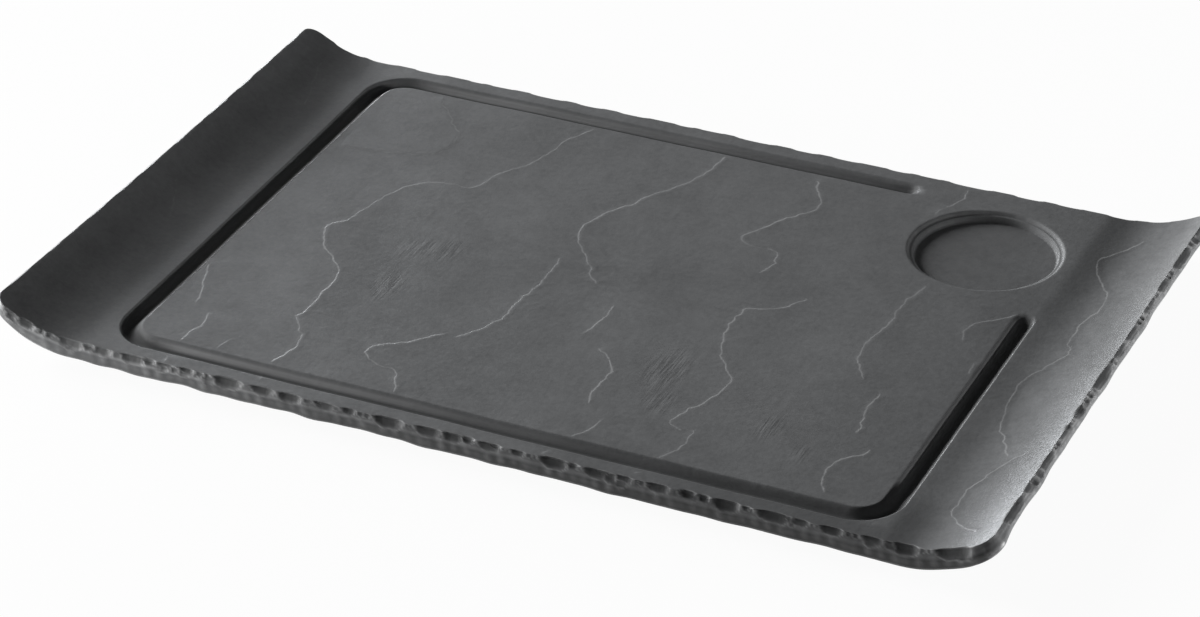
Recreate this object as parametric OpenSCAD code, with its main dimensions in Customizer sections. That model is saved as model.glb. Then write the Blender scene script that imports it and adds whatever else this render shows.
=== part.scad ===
// Steak plate in slate-look ceramic: one fired plate with two raised ends, a juice groove round
// the cutting field, a round well for a sauce pot and a chipped edge, on four stick-on feet.
// Millimetres, +Z up. The origin is on the table, under the middle of the plate.

/* [Plate] */
// Length of the flat middle, between the raised ends
flat_l = 326; // [260:1:390]
// Overall width, front to back
plate_w = 245; // [210:1:290]
// Thickness of the flat middle
plate_t = 8; // [7:0.5:12]
// Radius of the four corners, seen from above
corner_r = 10; // [5:0.5:14]

/* [Raised ends] */
// Height of each rim above the flat top
rim_rise = 11; // [7:0.5:16]
// Slope of the top at each rim, in degrees
rim_slope = 35.5; // [30:0.5:42]
// Thickness of each rim
rim_t = 4.5; // [3.5:0.25:6]

/* [Juice groove] */
// Width of the groove at the surface
groove_mouth = 8.4; // [6:0.2:10]
// Depth of the groove
groove_depth = 3; // [2:0.25:3.5]
// Radius of the groove's centre line at its corners
groove_bend_r = 14; // [10:0.5:20]
// From the groove's centre line to where each end starts to rise
groove_to_bend = 10; // [6:0.5:16]
// From the groove's centre line to the plate's front and back edges
groove_to_side = 12; // [10:0.5:18]

/* [Sauce well] */
// Diameter of the well's wall, which takes the foot of a sauce pot
well_d = 56; // [44:0.5:64]
// Width of the ledge round the wall
well_ledge_w = 1.3; // [0.6:0.1:3]
// Width of the bevel round the mouth
well_bevel = 0.7; // [0.3:0.1:0.8]
// Depth of the ledge below the flat top
well_ledge_depth = 1.2; // [0.8:0.1:1.6]
// Depth of the well's floor below the flat top
well_depth = 3.5; // [2.5:0.1:4]
// From the well's mouth to where the right end starts to rise
well_to_bend = 11; // [6:0.5:20]
// From the well's mouth to the plate's back edge
well_to_back = 15; // [8:0.5:24]
// From the groove's tips to the well's mouth, along each run
groove_tip_to_well = 10; // [6:0.5:20]

/* [Chipped edge] */
// Average spacing of the chips along the front edge
front_chip_pitch = 13; // [10:0.5:18]
// Average depth of the chips along the front edge
front_chip_depth = 1.6; // [1:0.1:2.2]
// Average spacing of the chips along the back edge and both rims
rim_chip_pitch = 18; // [12:0.5:24]
// Average depth of the chips along the back edge and both rims
rim_chip_depth = 1.1; // [0.8:0.1:1.6]
// Angle at which the chips bite into the edge, from the plane of the top, in degrees
chip_tilt = 25; // [20:1:40]
// Average length of a chip, as a share of the spacing
chip_share = 0.8; // [0.6:0.05:0.95]
// How far chips differ in length, as a share of the average length
chip_length_spread = 0.45; // [0:0.05:0.5]
// How far chips differ in depth, as a share of the average depth
chip_depth_spread = 0.3; // [0:0.05:0.35]
// How far chips stray from an even spacing, as a share of the spacing
chip_place_spread = 0.25; // [0:0.05:0.3]

/* [Feet] */
// Diameter of a foot
foot_d = 14; // [10:0.5:18]
// Height that the feet hold the plate above the table
foot_stand = 1.5; // [1:0.25:3]
// Bevel round the bottom of a foot
foot_bevel = 0.5; // [0.25:0.05:0.8]
// Depth of the socket that a foot sits in
foot_socket_depth = 1; // [0.75:0.05:1.5]
// Gap round a foot in its socket
foot_gap = 0.3; // [0.2:0.05:0.5]
// Thickness of the adhesive disc
adhesive_t = 0.4; // [0.2:0.05:0.5]
// Distance that the adhesive disc stays inside the foot's edge
adhesive_inset = 0.5; // [0.25:0.05:1]
// From a foot's centre to where the nearer end starts to rise
foot_to_bend = 28; // [20:1:45]
// From a foot's centre to the plate's nearer side
foot_to_side = 32; // [24:1:45]

/* [Hidden] */
$fn = 64;
// Overlap that lets a cut run past the face it starts from
over = 1;
// Height of the underside and of the flat top above the table
under_z = foot_stand;
top_z = under_z + plate_t;
half_w = plate_w / 2;

// Side profile: the top rises on an arc from bend_x, and the rim's face stands square to that arc
bend_x = flat_l / 2;
top_r = rim_rise / (1 - cos(rim_slope));
rim_top = [bend_x + top_r * sin(rim_slope), plate_t + rim_rise];
rim_low = rim_top + rim_t * [sin(rim_slope), -cos(rim_slope)];
rim_face = rim_low - rim_top;
plate_l = 2 * rim_low.x;
// The underside's arc starts level at bend_x and ends at the rim's lower edge
under_r = (pow(rim_low.x - bend_x, 2) + pow(rim_low.y, 2)) / (2 * rim_low.y);

// Groove: a round bottom whose chord at the surface is the groove's mouth
groove_x = bend_x - groove_to_bend;
groove_y = half_w - groove_to_side;
groove_r = (pow(groove_mouth / 2, 2) + pow(groove_depth, 2)) / (2 * groove_depth);
groove_z = top_z + groove_r - groove_depth;

// Sauce well, in the corner that the groove leaves free
well_ledge_d = well_d + 2 * well_ledge_w;
well_mouth_d = well_ledge_d + 2 * well_bevel;
well_x = bend_x - well_to_bend - well_mouth_d / 2;
well_y = half_w - well_to_back - well_mouth_d / 2;
groove_end_reach = well_mouth_d / 2 + groove_tip_to_well + groove_mouth / 2;
groove_back_end = well_x - groove_end_reach;
groove_right_end = well_y - groove_end_reach;

// Centres of the groove's bends
groove_bend_x = groove_x - groove_bend_r;
groove_bend_y = groove_y - groove_bend_r;

// Feet: their places under the flat middle, and the height of each joint in their stack
foot_x = bend_x - foot_to_bend;
foot_y = half_w - foot_to_side;
socket_top_z = under_z + foot_socket_depth;
foot_top_z = socket_top_z - adhesive_t;

// Height and slope of the top surface at x; the slope is in degrees, positive where it rises with x
function run_up(x) = max(abs(x) - bend_x, 0);
function top_height(x) = top_z + top_r - sqrt(pow(top_r, 2) - pow(run_up(x), 2));
function top_slope(x) = sign(x) * asin(run_up(x) / top_r);

// A repeatable uneven number from -1 to 1, so that no two chips are alike
function uneven(i, kind) = (sin(137.5 * i + 61 * kind) + sin(73.3 * i + 29 * kind)) / 2;

// Unit direction that a chip faces at x, on an edge that faces angle: out over the edge, tilted up
function chip_facing(x, angle) =
    let (
        slope = top_slope(x),
        up = [-sin(slope), 0, cos(slope)],
        level = [cos(angle), sin(angle), 0],
        out = level - (level * up) * up
    )
    cos(chip_tilt) * out / norm(out) + sin(chip_tilt) * up;

// Rectangle with round corners, centred on the origin
module rounded_rectangle(length, width, radius) {
    square([length - 2 * radius, width], center = true);
    square([length, width - 2 * radius], center = true);
    for (x = [-1, 1], y = [-1, 1])
        translate([x * (length / 2 - radius), y * (width / 2 - radius)])
            circle(r = radius);
}

// One raised end seen from the front, from bend_x out to the rim's face
module end_profile() {
    intersection() {
        difference() {
            translate([bend_x, under_r]) circle(r = under_r);
            translate([bend_x, plate_t + top_r]) circle(r = top_r);
        }
        polygon([
            [bend_x, -over],
            [rim_low.x + rim_face.x, -over],
            rim_low + rim_face,
            rim_top - rim_face,
            [bend_x, rim_top.y + over]
        ]);
    }
}

// The plate before anything is cut from it: the side profile carried across, within the plan outline
module plate_blank() {
    intersection() {
        translate([0, 0, under_z])
            rotate([90, 0, 0])
                linear_extrude(plate_w + 2 * over, center = true) {
                    translate([-bend_x, 0]) square([2 * bend_x, plate_t]);
                    end_profile();
                    mirror([1, 0]) end_profile();
                }
        translate([0, 0, under_z - over])
            linear_extrude(rim_top.y + 2 * over)
                rounded_rectangle(plate_l, plate_w, corner_r);
    }
}

// A straight run of the groove between two points of its centre line
module groove_run(start, end) {
    run = end - start;
    translate([start.x, start.y, groove_z])
        rotate([0, 90, atan2(run.y, run.x)])
            cylinder(r = groove_r, h = norm(run));
}

// A quarter bend of the groove about a centre, from angle to angle + 90
module groove_bend(x, y, angle) {
    translate([x, y, groove_z])
        rotate([0, 0, angle])
            rotate_extrude(angle = 90)
                translate([groove_bend_r, 0]) circle(r = groove_r);
}

// A round end of the groove; the ball lies on its side, so that its poles are clear of the plate
module groove_tip(x, y) {
    translate([x, y, groove_z]) rotate([0, -90, 0]) sphere(r = groove_r);
}

// The groove's straight runs, with round tips where it stops short of the sauce well
module groove_runs() {
    groove_run([groove_back_end, groove_y], [-groove_bend_x, groove_y]);
    groove_run([-groove_x, groove_bend_y], [-groove_x, -groove_bend_y]);
    groove_run([-groove_bend_x, -groove_y], [groove_bend_x, -groove_y]);
    groove_run([groove_x, -groove_bend_y], [groove_x, groove_right_end]);
    groove_tip(groove_back_end, groove_y);
    groove_tip(groove_x, groove_right_end);
}

// The groove's three bends, from the back left corner to the front right one
module groove_bends() {
    groove_bend(-groove_bend_x, groove_bend_y, 90);
    groove_bend(-groove_bend_x, -groove_bend_y, 180);
    groove_bend(groove_bend_x, -groove_bend_y, 270);
}

// The sauce well: a bevelled mouth, a ledge and a straight wall down to a flat floor
module sauce_well() {
    translate([well_x, well_y, top_z]) {
        translate([0, 0, -well_depth]) cylinder(d = well_d, h = well_depth + over);
        translate([0, 0, -well_ledge_depth]) cylinder(d = well_ledge_d, h = well_ledge_depth + over);
        translate([0, 0, -well_bevel])
            cylinder(d1 = well_ledge_d, d2 = well_mouth_d + 2 * over, h = well_bevel + over);
    }
}

// One chip: a shallow round scar in the top edge at (x, y), where the edge faces angle.
// The ball that cuts it is turned so that its poles lie beside the scar and not in it.
module chip(i, x, y, angle, pitch, mean_depth) {
    half = chip_share * pitch / 2 * (1 + chip_length_spread * uneven(i, 2));
    depth = mean_depth * (1 + chip_depth_spread * uneven(i, 3));
    radius = (pow(half, 2) + pow(depth, 2)) / (2 * depth);
    facing = chip_facing(x, angle);
    translate([x, y, top_height(x)] + (radius - depth) * facing)
        rotate([0, -asin(facing.z), atan2(facing.y, facing.x)])
            sphere(r = radius);
}

// Chips along one straight side, of the given length, that faces angle at a distance from the middle
module side_chips(length, distance, angle, pitch, mean_depth) {
    count = floor(length / pitch);
    for (i = [0 : count - 1]) {
        along = length * ((i + 0.5 + chip_place_spread * uneven(i + angle, 1)) / count - 0.5);
        x = distance * cos(angle) - along * sin(angle);
        y = distance * sin(angle) + along * cos(angle);
        chip(i + angle, x, y, angle, length / count, mean_depth);
    }
}

// The chipped edge: the front is broken most, the back and the two rims less
module edge_chips() {
    long_run = 2 * (rim_top.x - corner_r);
    short_run = plate_w - 2 * corner_r;
    side_chips(long_run, half_w, -90, front_chip_pitch, front_chip_depth);
    side_chips(long_run, half_w, 90, rim_chip_pitch, rim_chip_depth);
    for (angle = [0, 180])
        side_chips(short_run, rim_top.x, angle, rim_chip_pitch, rim_chip_depth);
}

// Moves what follows to one of the four places of the feet, at height z
module at_foot(x_side, y_side, z) {
    translate([x_side * foot_x, y_side * foot_y, z]) children();
}

module plate_body() {
    color("#5f6061")
        difference() {
            plate_blank();
            groove_runs();
            groove_bends();
            sauce_well();
            edge_chips();
            for (x_side = [-1, 1], y_side = [-1, 1])
                at_foot(x_side, y_side, under_z - over)
                    cylinder(d = foot_d + 2 * foot_gap, h = foot_socket_depth + over);
        }
}

module foot_pad(x_side, y_side) {
    color("#2c2d2e")
        at_foot(x_side, y_side, 0) {
            cylinder(d1 = foot_d - 2 * foot_bevel, d2 = foot_d, h = foot_bevel);
            translate([0, 0, foot_bevel]) cylinder(d = foot_d, h = foot_top_z - foot_bevel);
        }
}

module foot_adhesive(x_side, y_side) {
    color("#c9c4b6")
        at_foot(x_side, y_side, foot_top_z)
            cylinder(d = foot_d - 2 * adhesive_inset, h = adhesive_t);
}

plate_body();
foot_pad(-1, -1);  // foot_pad_front_left
foot_pad(1, -1);  // foot_pad_front_right
foot_pad(-1, 1);  // foot_pad_back_left
foot_pad(1, 1);  // foot_pad_back_right
foot_adhesive(-1, -1);  // foot_adhesive_front_left
foot_adhesive(1, -1);  // foot_adhesive_front_right
foot_adhesive(-1, 1);  // foot_adhesive_back_left
foot_adhesive(1, 1);  // foot_adhesive_back_right
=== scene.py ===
# %% [markdown]
# # A steak plate that looks like split slate
# This plate is one piece of fired ceramic, cast to look like a slab of slate. It has a flat field for
# cutting, a groove that catches the juice, a round well for a sauce pot, two ends that sweep up and an
# edge full of chips. It stands on four stick-on feet. The solids of these pieces come from a CAD model,
# in metres. This lesson dresses them: it builds a finer plate with numpy, gives every piece a finish
# made of shader nodes, and sets up the camera and the light of a product photograph.

import bpy
import numpy as np
from mathutils import Matrix


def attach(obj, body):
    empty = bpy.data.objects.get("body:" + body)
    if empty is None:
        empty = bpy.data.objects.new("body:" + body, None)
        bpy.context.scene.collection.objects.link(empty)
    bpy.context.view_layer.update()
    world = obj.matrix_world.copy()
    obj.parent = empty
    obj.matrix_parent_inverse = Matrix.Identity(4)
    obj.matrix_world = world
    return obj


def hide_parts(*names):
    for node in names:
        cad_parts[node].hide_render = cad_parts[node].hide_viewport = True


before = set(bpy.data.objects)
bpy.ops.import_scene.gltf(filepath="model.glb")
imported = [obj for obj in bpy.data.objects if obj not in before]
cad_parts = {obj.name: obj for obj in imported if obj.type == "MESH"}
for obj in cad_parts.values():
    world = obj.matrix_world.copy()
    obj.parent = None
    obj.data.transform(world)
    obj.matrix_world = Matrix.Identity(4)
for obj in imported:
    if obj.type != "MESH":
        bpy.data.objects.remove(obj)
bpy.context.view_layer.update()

print("solids:", ", ".join(sorted(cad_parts)))

# %% [markdown]
# ## The sizes that everything follows
# The plate's shape comes from a few sizes, the same as in the solids. From the side it is a flat strip
# with an arc at each end. The arc of the top starts level where the flat ends, so its radius follows from
# how far the rim rises and how steep it is there. Working in millimetres keeps the numbers readable, and
# one factor turns them into Blender's metres at the very end.

# %% Driving sizes in millimetres, and what follows from them
MM = 0.001
FLAT_L = 326.0
PLATE_W = 245.0
PLATE_T = 8.0
CORNER_R = 10.0
RIM_RISE = 11.0
RIM_SLOPE = np.radians(35.5)
RIM_T = 4.5
FOOT_STAND = 1.5

BEND_X = FLAT_L / 2
HALF_W = PLATE_W / 2
UNDER_Z = FOOT_STAND
TOP_Z = UNDER_Z + PLATE_T
TOP_R = RIM_RISE / (1 - np.cos(RIM_SLOPE))
RIM_X = BEND_X + TOP_R * np.sin(RIM_SLOPE)
END_X = RIM_X + RIM_T * np.sin(RIM_SLOPE)
RIM_LOW = PLATE_T + RIM_RISE - RIM_T * np.cos(RIM_SLOPE)
UNDER_R = ((END_X - BEND_X) ** 2 + RIM_LOW**2) / (2 * RIM_LOW)


def smoothstep(value, low, high):
    """0 below low and 1 above high, with the S-shaped rise 3 t^2 - 2 t^3 between them."""
    t = np.clip((value - low) / (high - low), 0.0, 1.0)
    return t * t * (3.0 - 2.0 * t)


def run_out(x, radius):
    """How far x lies beyond the flat middle, kept inside the radius of the arc that starts there."""
    return np.clip(np.abs(x) - BEND_X, 0.0, 0.95 * radius)


def top_height(x):
    """Height of the top before anything is cut into it: r - sqrt(r^2 - run^2) above the flat."""
    return TOP_Z + TOP_R - np.sqrt(TOP_R**2 - run_out(x, TOP_R) ** 2)


def under_height(x):
    """Height of the underside, which rises on an arc of its own."""
    return UNDER_Z + UNDER_R - np.sqrt(UNDER_R**2 - run_out(x, UNDER_R) ** 2)


print(f"plate {2 * END_X:.2f} x {PLATE_W} mm, arcs of {TOP_R:.2f} and {UNDER_R:.2f} mm")

# %% [markdown]
# ## The camera
# A camera that stands where the photographer stood lets the render be laid over the photograph. Its
# azimuth, elevation, distance and focal length were found by matching the groove, the well and the
# outline of the plate. Three unit directions, right, up and back, are the columns of its matrix. The same
# directions turn a pixel into a ray, which later carries lines drawn on the photograph onto the plate.

# %% Camera
IMAGE_W = 1200
IMAGE_H = 617
SENSOR_W = 36.0
FOCAL_PX = 4147.6
CAMERA_AZIMUTH = 25.153
CAMERA_ELEVATION = 31.337
CAMERA_ROLL = -0.754
CAMERA_DISTANCE = 1578.54
CAMERA_SLIDE_RIGHT = -4.982
CAMERA_SLIDE_UP = -11.052


def view_axes(azimuth, elevation, roll=0.0):
    """Right, up and back directions of a view from this azimuth and elevation, turned by roll.
    Azimuth 0 looks along +Y from the front; all angles are in degrees."""
    a, e, r = np.radians([azimuth, elevation, roll])
    back = np.array([np.sin(a) * np.cos(e), -np.cos(a) * np.cos(e), np.sin(e)])
    level = np.array([np.cos(a), np.sin(a), 0.0])
    upright = np.cross(back, level)
    right = np.cos(r) * level + np.sin(r) * upright
    up = np.cos(r) * upright - np.sin(r) * level
    return right, up, back


def standing_at(axes, place):
    """Matrix of an object whose own X, Y and Z are these axes and whose place is in millimetres."""
    matrix = np.eye(4)
    matrix[:3, :3] = np.stack(axes, axis=1)
    matrix[:3, 3] = np.asarray(place) * MM
    return Matrix(matrix.tolist())


camera_axes = view_axes(CAMERA_AZIMUTH, CAMERA_ELEVATION, CAMERA_ROLL)
camera_right, camera_up, camera_back = camera_axes
field_centre = np.array([0.0, 0.0, TOP_Z])
eye = (
    field_centre
    + CAMERA_SLIDE_RIGHT * camera_right
    + CAMERA_SLIDE_UP * camera_up
    + CAMERA_DISTANCE * camera_back
)
camera = bpy.data.objects.new("camera", bpy.data.cameras.new("camera"))
camera.data.sensor_fit = "HORIZONTAL"
camera.data.sensor_width = SENSOR_W
camera.data.lens = FOCAL_PX / IMAGE_W * SENSOR_W
camera.data.clip_end = 100.0
camera.matrix_world = standing_at(camera_axes, eye)
bpy.context.scene.collection.objects.link(camera)
bpy.context.scene.camera = camera
bpy.context.scene.view_settings.view_transform = "Standard"
print(f"camera at {np.round(eye, 1)} mm with a {camera.data.lens:.1f} mm lens")

# %% [markdown]
# ## The split lines of the slate
# Slate splits in thin layers, so its face is crossed by the wandering edges where one layer stops. On
# this plate they are low steps, and their crest is painted lighter, a painted highlight where the step
# catches the light. Noise can make lines like these, but not in these
# places, so each line is a short list of pixels picked from the photograph. A ray through each
# pixel meets the plate, corner cutting rounds the line between the points, and small kinks, drawn by a
# seeded generator, give it the broken look of a split. A strength below zero is a step down.

# %% Split lines: how strong each one is, and the pixels that it runs through
SPLIT_LINES = {
    "long_left_back": (0.55, [
        (596, 128), (569, 139), (553, 150), (541, 159), (516, 168), (498, 173), (475, 190), (452, 184),
        (427, 182), (401, 187), (375, 201), (352, 219), (333, 223),
    ]),
    "long_left_front": (0.9, [
        (352, 219), (324, 224), (323, 235), (326, 250), (342, 268), (332, 283), (306, 310), (295, 318),
        (305, 341), (270, 363),
    ]),
    "back_left_loop": (0.8, [
        (339, 145), (380, 152), (426, 156), (444, 152), (460, 137), (452, 119), (443, 106), (443, 96),
    ]),
    "middle_back": (1.0, [
        (726, 156), (707, 173), (687, 184), (646, 196), (636, 204), (618, 208), (587, 222), (574, 238),
        (591, 262), (590, 270), (596, 285),
    ]),
    "middle_upper": (0.7, [(615, 304), (605, 317), (580, 335)]),
    "middle_lower": (0.8, [(597, 347), (609, 358), (615, 369), (592, 391), (588, 405)]),
    "middle_front": (0.7, [(603, 419), (585, 432), (569, 437)]),
    "left_centre": (0.9, [
        (560, 257), (549, 275), (529, 293), (514, 303), (506, 317), (478, 331), (453, 338),
    ]),
    "left_front": (0.9, [
        (448, 333), (412, 341), (377, 344), (363, 352), (372, 364), (392, 368), (396, 376), (395, 394),
    ]),
    "back_right": (0.9, [
        (815, 180), (821, 199), (816, 212), (783, 218), (764, 229), (741, 234), (740, 243), (764, 248),
        (780, 253), (773, 264), (757, 274),
    ]),
    "right_centre": (0.75, [
        (810, 298), (792, 306), (764, 310), (745, 307), (741, 314), (725, 328), (721, 351), (724, 361),
        (733, 382), (712, 399), (674, 417), (668, 423), (674, 428), (694, 430), (693, 437), (679, 449),
        (654, 459),
    ]),
    "right_back": (0.9, [(928, 285), (904, 302), (891, 322), (863, 346), (856, 360), (864, 381)]),
    "right_middle": (0.8, [(880, 392), (867, 408), (864, 420), (856, 435)]),
    "right_front": (0.8, [(872, 448), (863, 455), (837, 459), (824, 472), (823, 494)]),
    "well_arm": (0.7, [(968, 189), (965, 200), (945, 207), (934, 216)]),
    "right_edge_back": (0.7, [(1020, 315), (997, 320), (966, 327), (963, 343)]),
    "right_edge_front": (0.6, [(974, 361), (969, 376)]),
    "right_end_back": (-0.8, [
        (1146, 240), (1127, 250), (1099, 259), (1095, 266), (1102, 285), (1109, 302), (1083, 322),
        (1068, 340), (1071, 352), (1055, 362), (1019, 380), (1006, 408), (1000, 423), (1003, 440),
        (1008, 458),
    ]),
    "right_end_front": (-0.8, [(1051, 440), (1016, 456), (977, 482), (950, 507), (952, 520), (977, 533)]),
    "left_edge_back": (0.8, [(208, 258), (204, 281), (201, 296), (195, 304)]),
    "left_edge_front": (0.8, [(210, 312), (204, 324), (186, 335), (180, 342)]),
    "left_edge_faint": (0.5, [(235, 337), (214, 349)]),
    "left_end_back": (0.4, [(321, 59), (310, 84), (305, 107)]),
    "left_end_front": (0.4, [(176, 176), (170, 217)]),
    "left_end_low": (0.35, [(65, 332), (72, 322), (79, 314)]),
    "front_left_nick": (0.8, [(168, 354), (163, 363)]),
    "front_nick": (0.6, [(262, 372), (258, 381)]),
    "front_middle_nick": (0.5, [(554, 450), (539, 455)]),
    "front_right_nick": (0.5, [(646, 472), (631, 474)]),
}
print(sum(len(pixels) for _, pixels in SPLIT_LINES.values()), "pixels for", len(SPLIT_LINES), "lines")

# %% From pixels to lines on the plate
def on_top(pixels):
    """Point of the plate's top behind each pixel: the ray's height is set to the top's height at the
    x it reaches, over and over, until the two agree."""
    pixels = np.asarray(pixels, float)
    sideways = (pixels[:, :1] - IMAGE_W / 2) / FOCAL_PX
    upwards = (IMAGE_H / 2 - pixels[:, 1:]) / FOCAL_PX
    rays = sideways * camera_right + upwards * camera_up - camera_back
    height = np.full(len(pixels), TOP_Z)
    for _ in range(40):
        points = eye + ((height - eye[2]) / rays[:, 2])[:, None] * rays
        height = top_height(points[:, 0])
    return points


def cut_corners(line):
    """Each side keeps its points at one and three quarters of its length, and the ends stay."""
    near = 0.75 * line[:-1] + 0.25 * line[1:]
    far = 0.25 * line[:-1] + 0.75 * line[1:]
    return np.concatenate([line[:1], np.stack([near, far], 1).reshape(-1, 2), line[-1:]])


KINK_STEP = 2.6
KINK = 0.42


def roughen(line, luck):
    """Cuts a line into steps of about KINK_STEP and pushes every joint but the ends sideways, by KINK
    times a number from the normal distribution."""
    step = np.diff(line, axis=0)
    at = np.concatenate([[0.0], np.cumsum(np.hypot(step[:, 0], step[:, 1]))])
    count = max(int(at[-1] / KINK_STEP), 1)
    places = np.linspace(0.0, at[-1], count + 1)
    fine = np.stack([np.interp(places, at, line[:, axis]) for axis in (0, 1)], axis=1)
    way = np.gradient(fine, axis=0)
    sideways = np.stack([-way[:, 1], way[:, 0]], axis=1) / np.hypot(way[:, 0], way[:, 1])[:, None]
    push = KINK * luck.normal(size=count + 1)
    push[[0, -1]] = 0.0
    return fine + push[:, None] * sideways


kink_luck = np.random.default_rng(12)
split_lines = []
for force, pixels in SPLIT_LINES.values():
    drawn_line = cut_corners(on_top(pixels)[:, :2])
    split_lines.append((force, roughen(drawn_line, kink_luck)))
drawn = sum(np.hypot(*np.diff(line, axis=0).T).sum() for _, line in split_lines)
print(f"{len(split_lines)} split lines, {drawn:.0f} mm in all")

# %% [markdown]
# ## Height and tone of the split lines
# Each point of the plate needs to know how far it is from the nearest line, and on which side. The side
# matters twice: one side of a split stands a little higher, and a signed distance crosses zero exactly on
# the line, so the shader can draw a crest that is thinner than the mesh's faces. The step dies away on the
# line's left, because a layer that has split off leaves a slope and not a terrace.

# %% Distance to the split lines
SPLIT_REACH = 3.0
SPLIT_STEP = 0.15
SPLIT_FADE = 2.5
STEP_LOW = -0.9
STEP_HIGH = 1.6
STEP_SPREAD = 12.0


def distance_to_line(points, line):
    """Signed distance from points to a line, and how far the nearest point is from the line's ends.
    Each point is dropped onto every segment, t = (p - a).(b - a) / |b - a|^2 kept from 0 to 1, and the
    shortest drop counts. The distance is positive on the left of the line."""
    start = line[:-1]
    step = np.diff(line, axis=0)
    length = np.hypot(step[:, 0], step[:, 1])
    away = points[:, None, :] - start
    t = np.clip((away * step).sum(-1) / length**2, 0.0, 1.0)
    square = ((away - t[..., None] * step) ** 2).sum(-1)
    best = square.argmin(1)
    each = np.arange(len(points))
    side = np.sign(step[best, 0] * away[each, best, 1] - step[best, 1] * away[each, best, 0])
    travelled = np.concatenate([[0.0], np.cumsum(length)])
    along = travelled[best] + t[each, best] * length[best]
    return side * np.sqrt(square[each, best]), np.minimum(along, travelled[-1] - along)


def split_fields(x, y):
    """Signed distance to the nearest line, its nearness from 0 to 1, and the height of all the steps."""
    points = np.stack([x.ravel(), y.ravel()], axis=1)
    offset = np.full(len(points), SPLIT_REACH)
    nearness = np.zeros(len(points))
    relief = np.zeros(len(points))
    margin = 3 * STEP_SPREAD
    for force, line in split_lines:
        close = ((points > line.min(0) - margin) & (points < line.max(0) + margin)).all(1)
        distance, from_end = distance_to_line(points[close], line)
        presence = smoothstep(from_end, 0.0, SPLIT_FADE)
        left_side = smoothstep(distance, STEP_LOW, STEP_HIGH)
        left_side *= np.exp(-np.maximum(distance, 0.0) / STEP_SPREAD)
        relief[close] += SPLIT_STEP * force * presence * left_side
        strength = np.abs(force) * presence * np.clip(1 - np.abs(distance) / SPLIT_REACH, 0.0, 1.0)
        nearer = strength > nearness[close]
        spots = np.flatnonzero(close)[nearer]
        offset[spots] = distance[nearer]
        nearness[spots] = strength[nearer]
    return offset.reshape(x.shape), nearness.reshape(x.shape), relief.reshape(x.shape)


print("steps rise", SPLIT_STEP, "mm and die away over", STEP_SPREAD, "mm")

# %% [markdown]
# ## The groove and the well
# The groove follows a rounded rectangle that is left open at the well. The distance to a rounded rectangle
# has a short formula, so the depth can be worked out at every point at once, with no need to sweep a
# profile. The solid's groove is round with sharp lips. The real one is softer on one side: towards the
# field at the front and at the right, where it has a low shoulder, and towards the edge at the back. At the
# left both sides are sharp. So there are two profiles, and a share from 0 to 1 blends them. The well is
# round, so its depth depends only on the distance to its centre: a soft lip, a narrow ledge and a wall down
# to a flat floor.

# %% Where the groove and the well are
GROOVE_TO_BEND = 10.0
GROOVE_TO_EDGE = 12.0
GROOVE_X = BEND_X - GROOVE_TO_BEND
GROOVE_Y = HALF_W - GROOVE_TO_EDGE
GROOVE_BEND_R = 14.0
GROOVE_DEPTH = 3.0
GROOVE_MOUTH = 8.4
GROOVE_R = ((GROOVE_MOUTH / 2) ** 2 + GROOVE_DEPTH**2) / (2 * GROOVE_DEPTH)
WELL_R = 30.0
WELL_TO_BEND = 11.0
WELL_TO_EDGE = 15.0
WELL_X = BEND_X - WELL_TO_BEND - WELL_R
WELL_Y = HALF_W - WELL_TO_EDGE - WELL_R
WELL_TO_TIP = 10.0
TIP_REACH = WELL_R + WELL_TO_TIP + GROOVE_MOUTH / 2
BACK_TIP = (WELL_X - TIP_REACH, GROOVE_Y)
RIGHT_TIP = (GROOVE_X, WELL_Y - TIP_REACH)


def groove_across(x, y):
    """Distance from the groove's centre line, negative towards the field. For a rounded rectangle it is
    |max(q, 0)| + min(max(q), 0) - r, with q the distance past the straight part's half sizes. Beyond the
    tips, in the corner with the well, it is the distance to the nearer tip."""
    qx = np.abs(x) - (GROOVE_X - GROOVE_BEND_R)
    qy = np.abs(y) - (GROOVE_Y - GROOVE_BEND_R)
    outside = np.hypot(np.maximum(qx, 0.0), np.maximum(qy, 0.0))
    across = outside + np.minimum(np.maximum(qx, qy), 0.0) - GROOVE_BEND_R
    to_back_tip = np.hypot(x - BACK_TIP[0], y - BACK_TIP[1])
    to_right_tip = np.hypot(x - RIGHT_TIP[0], y - RIGHT_TIP[1])
    open_corner = (x > BACK_TIP[0]) & (y > RIGHT_TIP[1])
    return np.where(open_corner, np.minimum(to_back_tip, to_right_tip), across)


def field_side(x, y):
    """1 on the groove's field side and 0 on its outer side. Round the tips it turns from one into the
    other."""
    side = (groove_across(x, y) < 0).astype(float)
    for tip_x, tip_y, towards in ((*BACK_TIP, y - GROOVE_Y), (*RIGHT_TIP, x - GROOVE_X)):
        reach = np.hypot(x - tip_x, y - tip_y)
        near_tip = (x > BACK_TIP[0]) & (y > RIGHT_TIP[1]) & (reach < GROOVE_MOUTH)
        side = np.where(near_tip, 0.5 - 0.5 * towards / np.maximum(reach, 1e-9), side)
    return side


print(f"groove radius {GROOVE_R:.2f} mm, well at ({WELL_X:.1f}, {WELL_Y:.1f}) mm")

# %% Depth of the groove and of the well
LIP_R = 0.3
SOFT_FROM = 0.4
SOFT_TO = 4.6
SHOULDER_DEPTH = 0.3
SHOULDER_FROM = 2.2
STEEP_FROM = 0.6
WELL_DEPTH = 3.5
LEDGE_DEPTH = 1.2


def left_run(x, y):
    """1 along the straight left run of the groove, fading to 0 before its bends."""
    return smoothstep(-x, GROOVE_X - 9.0, GROOVE_X - 6.0) * (1 - smoothstep(np.abs(y), 78.0, 94.0))


def back_run(y):
    """1 along the back run of the groove, fading to 0 round its bend."""
    return smoothstep(y, 88.0, 102.0)


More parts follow.
